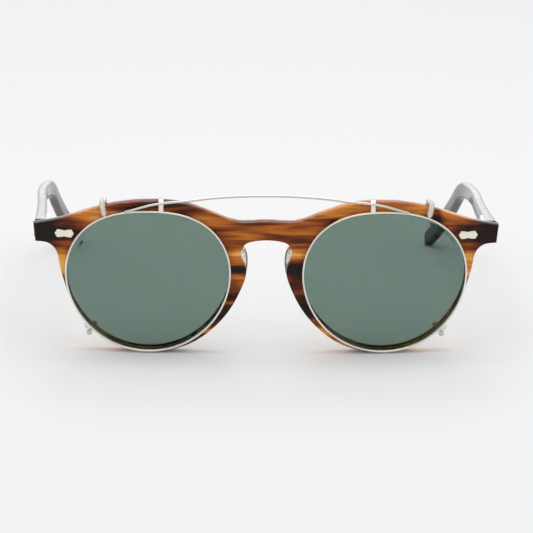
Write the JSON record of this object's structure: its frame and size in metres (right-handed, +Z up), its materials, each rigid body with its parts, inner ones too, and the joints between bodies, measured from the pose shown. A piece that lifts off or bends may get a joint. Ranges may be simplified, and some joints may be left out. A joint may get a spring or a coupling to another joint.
{
  "type": "clip on sunglasses",
  "caption": "Round acetate spectacle frame with folding temples and a sprung wire clip-on that hooks over it with green tinted lenses.",
  "frame": {"origin": "centre of the footprint, on the surface it stands on", "axes": "+X to the wearer's left, +Y from the lenses to the temple tips, +Z up"},
  "size_m": [0.1426, 0.1472, 0.0504],
  "materials": {
    "striped_acetate": "polished, amber and dark brown streaks",
    "dark_acetate": "polished, brown-black streaks",
    "clear_acetate": "polished, translucent",
    "clear_lens": "clear moulded lens",
    "green_lens": "grey-green tinted lens",
    "bright_wire": "bright plated wire",
    "soft_sleeve": "clear soft tube",
    "hinge_steel": "satin nickel silver",
    "core_wire": "drawn flat wire"
  },
  "bodies": {
    "frame": {"frame_front": "striped_acetate", "clear_lens_left": "clear_lens", "clear_lens_right": "clear_lens", "nose_pad_left": "clear_acetate", "nose_pad_right": "clear_acetate", "front_rivet_left": "hinge_steel", "front_rivet_right": "hinge_steel", "front_leaf_left": "hinge_steel", "front_leaf_right": "hinge_steel", "hinge_screw_left": "hinge_steel", "hinge_screw_right": "hinge_steel"},
    "temple_left": {"temple_left": "dark_acetate", "temple_core_left": "core_wire", "temple_leaf_left": "hinge_steel", "temple_rivet_left": "hinge_steel"},
    "temple_right": {"temple_right": "dark_acetate", "temple_core_right": "core_wire", "temple_leaf_right": "hinge_steel", "temple_rivet_right": "hinge_steel"},
    "clip_centre": {"bridge_wire": "bright_wire"},
    "clip_half_left": {"clip_rim_left": "bright_wire", "sun_lens_left": "green_lens", "closing_block_left": "bright_wire", "closing_screw_left": "hinge_steel", "upper_hook_left": "bright_wire", "upper_sleeve_left": "soft_sleeve", "wire_post_left": "bright_wire", "lower_hook_left": "bright_wire", "lower_sleeve_left": "soft_sleeve"},
    "clip_half_right": {"clip_rim_right": "bright_wire", "sun_lens_right": "green_lens", "closing_block_right": "bright_wire", "closing_screw_right": "hinge_steel", "upper_hook_right": "bright_wire", "upper_sleeve_right": "soft_sleeve", "wire_post_right": "bright_wire", "lower_hook_right": "bright_wire", "lower_sleeve_right": "soft_sleeve"}
  },
  "joints": [
    {"name": "temple_left_fold", "type": "hinge", "parent": "frame", "child": "temple_left", "pos_m": [0.0646, -0.06071, 0.03687], "axis": [0, -0.0349, 0.9994], "range_deg": [0, 84]},
    {"name": "temple_right_fold", "type": "hinge", "parent": "frame", "child": "temple_right", "pos_m": [-0.0646, -0.06071, 0.03687], "axis": [0, 0.0349, -0.9994], "range_deg": [0, 74]},
    {"name": "clip_pull_off", "type": "slide", "parent": "frame", "child": "clip_centre", "axis": [0, -1, 0], "range_m": [0, 0.04], "deforming": ["upper_hook_left", "upper_hook_right", "upper_sleeve_left", "upper_sleeve_right", "lower_hook_left", "lower_hook_right", "lower_sleeve_left", "lower_sleeve_right"]},
    {"name": "clip_left_spread", "type": "slide", "parent": "clip_centre", "child": "clip_half_left", "axis": [1, 0, 0], "range_m": [0, 0.003], "stiffness_N_per_m": 300, "deforming": ["bridge_wire"]},
    {"name": "clip_right_spread", "type": "slide", "parent": "clip_centre", "child": "clip_half_right", "axis": [-1, 0, 0], "range_m": [0, 0.003], "stiffness_N_per_m": 300}
  ],
  "couplings": [
    {"joint": "clip_right_spread", "follows": "clip_left_spread", "ratio": 1}
  ]
}
